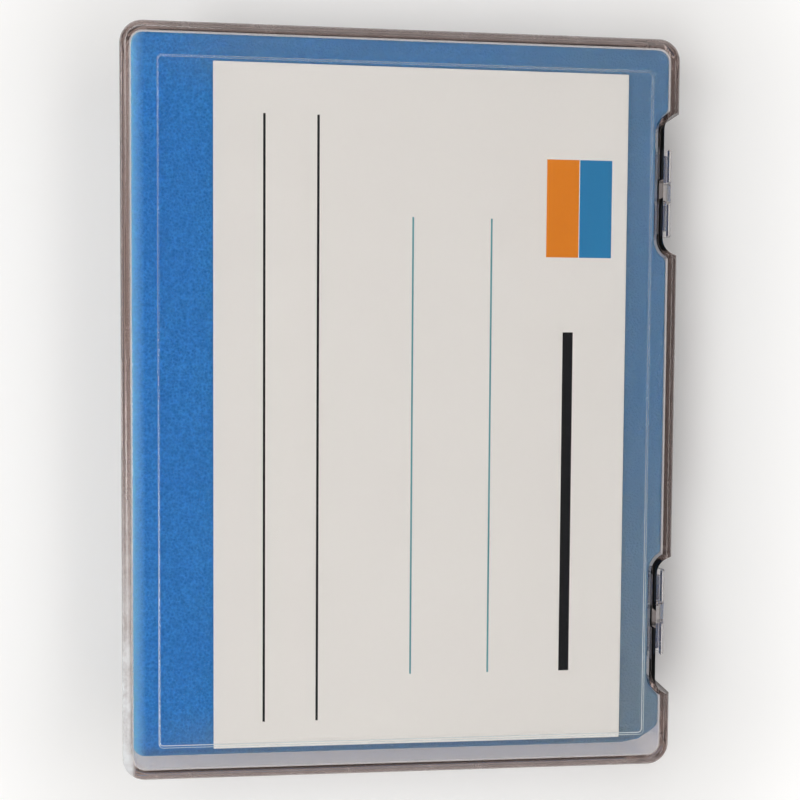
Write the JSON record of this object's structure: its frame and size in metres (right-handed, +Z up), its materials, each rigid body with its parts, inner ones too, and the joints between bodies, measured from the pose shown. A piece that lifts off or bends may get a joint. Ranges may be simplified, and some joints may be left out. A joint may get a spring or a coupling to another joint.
{
  "type": "cuvette case",
  "caption": "Clear hinged case with foam pads and a label card under its lid, holding glued short-path quartz cuvettes with caps.",
  "frame": {"origin": "middle of the whole outline, thumb tab and hinge barrels included, on the surface that the case lies on", "axes": "+X along the long side, to the right as the label reads, +Y towards the hinges, +Z up through the lid"},
  "size_m": [0.0988, 0.0764, 0.022],
  "materials": {
    "clear_plastic": "clear, glossy",
    "foam": "fine-celled foam",
    "card": "matt white card",
    "quartz": "polished",
    "frosted_quartz": "ground",
    "cap_plastic": "waxy white"
  },
  "bodies": {
    "base": {"case_base": "clear_plastic", "base_foam": "foam", "cuvette_a_front_window": "quartz", "cuvette_a_back_window": "quartz", "cuvette_a_left_spacer": "frosted_quartz", "cuvette_a_right_spacer": "frosted_quartz", "cuvette_a_bottom": "quartz", "cuvette_a_cap": "cap_plastic", "cuvette_b_front_window": "quartz", "cuvette_b_back_window": "quartz", "cuvette_b_left_spacer": "frosted_quartz", "cuvette_b_right_spacer": "frosted_quartz", "cuvette_b_bottom": "quartz", "cuvette_b_cap": "cap_plastic"},
    "lid": {"case_lid": "clear_plastic", "lid_foam": "foam", "label_card": "card"}
  },
  "joints": [
    {"name": "lid_hinge", "type": "hinge", "parent": "base", "child": "lid", "pos_m": [0, 0.03662, 0.0134], "axis": [-1, 0, 0], "range_deg": [0, 180]}
  ]
}
